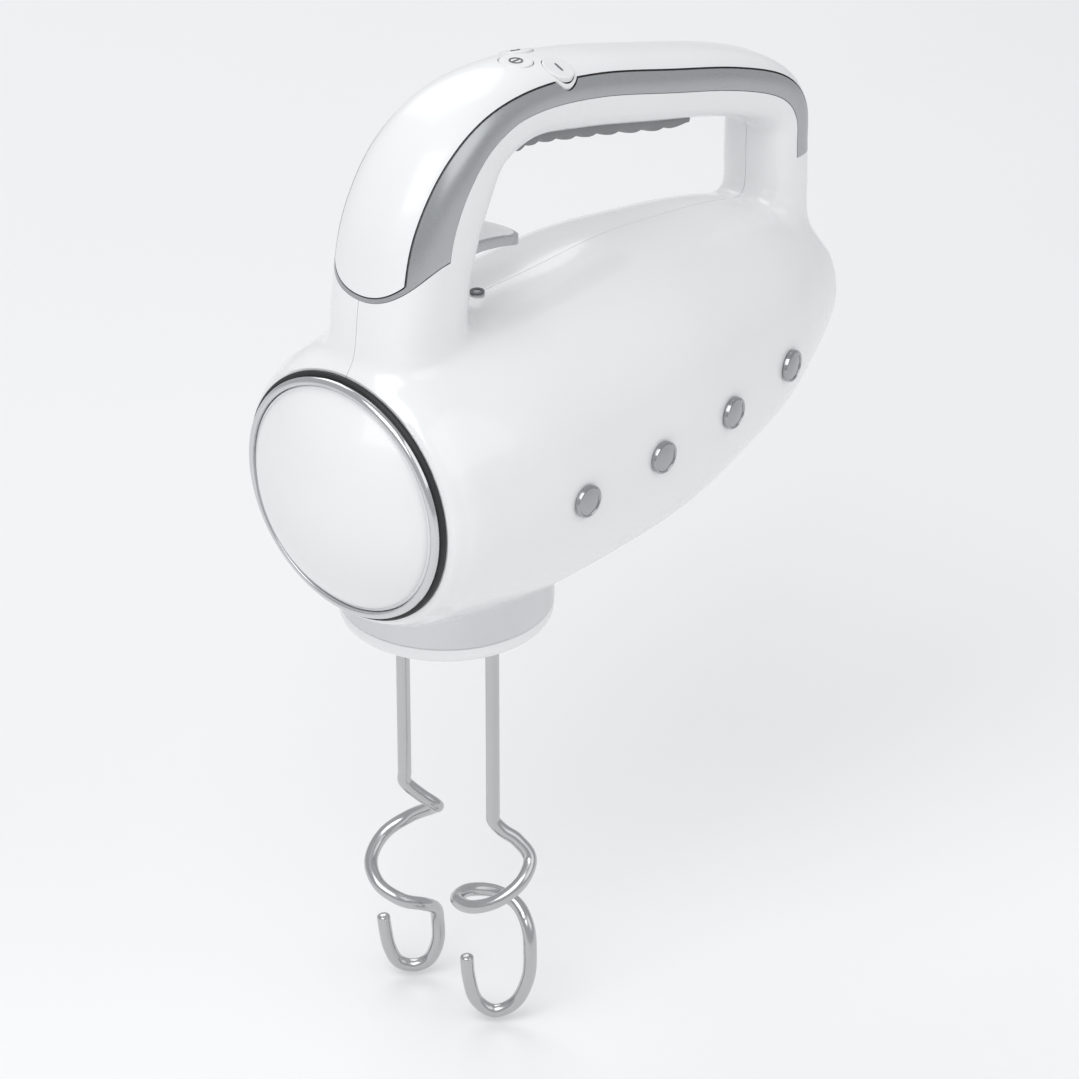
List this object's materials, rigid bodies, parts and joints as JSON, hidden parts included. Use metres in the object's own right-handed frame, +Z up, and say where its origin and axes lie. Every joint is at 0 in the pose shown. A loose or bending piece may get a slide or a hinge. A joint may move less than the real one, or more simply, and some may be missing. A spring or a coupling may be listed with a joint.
{
  "type": "hand mixer",
  "caption": "Hand-held electric mixer with a looped handle, top push buttons, a thumb eject lever and wire dough hooks turned by a worm gearbox.",
  "frame": {"origin": "midway between the two spindle axes, on the underside of the collar", "axes": "+Z up; the nose points towards -X and the heel towards +X; +Y is the left hand side of a user who looks along the nose"},
  "size_m": [0.255, 0.1157, 0.371],
  "materials": {
    "white_shell": "glossy moulded plastic",
    "white_panel": "glossy moulded plastic, slightly cooler",
    "button_white": "satin moulded plastic",
    "silver_band": "satin silver trim",
    "chrome_trim": "polished trim",
    "stud_chrome": "polished studs",
    "dark_gasket": "matt black gasket",
    "grey_grip": "soft-touch grip",
    "lever_silver": "satin metal lever",
    "mark_grey": "printed mark",
    "dark_plastic": "dark moulded plastic",
    "hook_steel": "polished stainless wire",
    "screw_steel": "zinc-plated steel",
    "spindle_steel": "ground steel",
    "worm_steel": "hardened steel",
    "die_cast": "die-cast alloy",
    "bronze": "oiled bronze",
    "gear_plastic": "acetal",
    "lamination": "stacked laminations",
    "copper_wire": "enamelled winding wire",
    "copper_bar": "copper segments",
    "fan_plastic": "moulded nylon",
    "carbon": "pressed carbon",
    "board_green": "solder-masked board",
    "filter_yellow": "moulded case",
    "terminal_white": "nylon block",
    "cushion_rubber": "soft rubber"
  },
  "bodies": {
    "housing": {"shell_left": "white_shell", "shell_right": "white_shell", "shell_screws": "screw_steel", "handle_band": "silver_band", "top_panel": "white_panel", "panel_gasket": "dark_gasket", "band_gasket": "dark_gasket", "finger_grip": "grey_grip", "nose_cap": "white_panel", "nose_ring": "chrome_trim", "nose_seal": "dark_gasket", "collar_band": "chrome_trim", "collar_base": "white_panel", "collar_screws": "screw_steel", "side_studs": "stud_chrome", "eject_mark": "mark_grey", "heel_pad": "dark_plastic", "cord_gland": "dark_plastic", "button_switches": "dark_plastic", "control_board": "board_green", "lever_pin": "spindle_steel", "ejector_spring": "spindle_steel", "gearbox_base": "die_cast", "gearbox_cover": "die_cast", "gearbox_screws": "screw_steel", "spindle_bushes": "bronze", "shaft_bearings": "bronze", "stator_core": "lamination", "field_coils": "copper_wire", "motor_frame": "dark_plastic", "motor_cushions": "cushion_rubber", "brush_holders": "bronze", "carbon_brushes": "carbon", "brush_springs": "spindle_steel", "power_board": "board_green", "mains_filter": "filter_yellow", "terminal_block": "terminal_white"},
    "rotor": {"motor_shaft": "spindle_steel", "worm": "worm_steel", "armature_core": "lamination", "armature_windings": "copper_wire", "commutator": "copper_bar", "cooling_fan": "fan_plastic"},
    "left_drive": {"spindle_left": "spindle_steel", "worm_wheel_left": "gear_plastic"},
    "right_drive": {"spindle_right": "spindle_steel", "worm_wheel_right": "gear_plastic"},
    "left_hook": {"hook_left": "hook_steel"},
    "right_hook": {"hook_right": "hook_steel"},
    "lever": {"eject_lever": "lever_silver", "lever_insert": "white_panel"},
    "ejector": {"ejector_bar": "spindle_steel"},
    "power": {"button_power": "button_white"},
    "minus": {"button_minus": "button_white"},
    "plus": {"button_plus": "button_white"}
  },
  "joints": [
    {"name": "motor_spin", "type": "hinge", "parent": "housing", "child": "rotor", "pos_m": [0.08, 0, 0.056], "axis": [1, 0, 0], "continuous": true},
    {"name": "left_spindle_spin", "type": "hinge", "parent": "housing", "child": "left_drive", "pos_m": [0, 0.022, 0.056], "axis": [0, 0, 1], "continuous": true},
    {"name": "right_spindle_spin", "type": "hinge", "parent": "housing", "child": "right_drive", "pos_m": [0, -0.022, 0.056], "axis": [0, 0, 1], "continuous": true},
    {"name": "eject_press", "type": "hinge", "parent": "housing", "child": "lever", "pos_m": [-0.028, 0, 0.1428], "axis": [0, 1, 0], "range_deg": [0, 10], "stiffness_Nm_per_rad": 0.15, "springref_deg": -20.05},
    {"name": "ejector_drop", "type": "slide", "parent": "housing", "child": "ejector", "axis": [0, 0, -1], "range_m": [0, 0.00349], "deforming": ["ejector_spring"]},
    {"name": "left_hook_release", "type": "slide", "parent": "left_drive", "child": "left_hook", "axis": [0, 0, -1], "range_m": [0, 0.00349]},
    {"name": "right_hook_release", "type": "slide", "parent": "right_drive", "child": "right_hook", "axis": [0, 0, -1], "range_m": [0, 0.00349]},
    {"name": "power_press", "type": "slide", "parent": "housing", "child": "power", "axis": [-0.075, 0, -0.9972], "range_m": [0, 0.0007], "stiffness_N_per_m": 900, "springref_m": -0.0003},
    {"name": "minus_press", "type": "slide", "parent": "housing", "child": "minus", "axis": [-0.171, 0.342, -0.924], "range_m": [0, 0.0007], "stiffness_N_per_m": 900, "springref_m": -0.0003},
    {"name": "plus_press", "type": "slide", "parent": "housing", "child": "plus", "axis": [-0.171, -0.342, -0.924], "range_m": [0, 0.0007], "stiffness_N_per_m": 900, "springref_m": -0.0003}
  ],
  "couplings": [
    {"joint": "left_spindle_spin", "follows": "motor_spin", "ratio": -0.03125},
    {"joint": "right_spindle_spin", "follows": "motor_spin", "ratio": 0.03125},
    {"joint": "ejector_drop", "follows": "eject_press", "m_per_rad": 0.02},
    {"joint": "left_hook_release", "follows": "eject_press", "m_per_rad": 0.02},
    {"joint": "right_hook_release", "follows": "eject_press", "m_per_rad": 0.02}
  ]
}
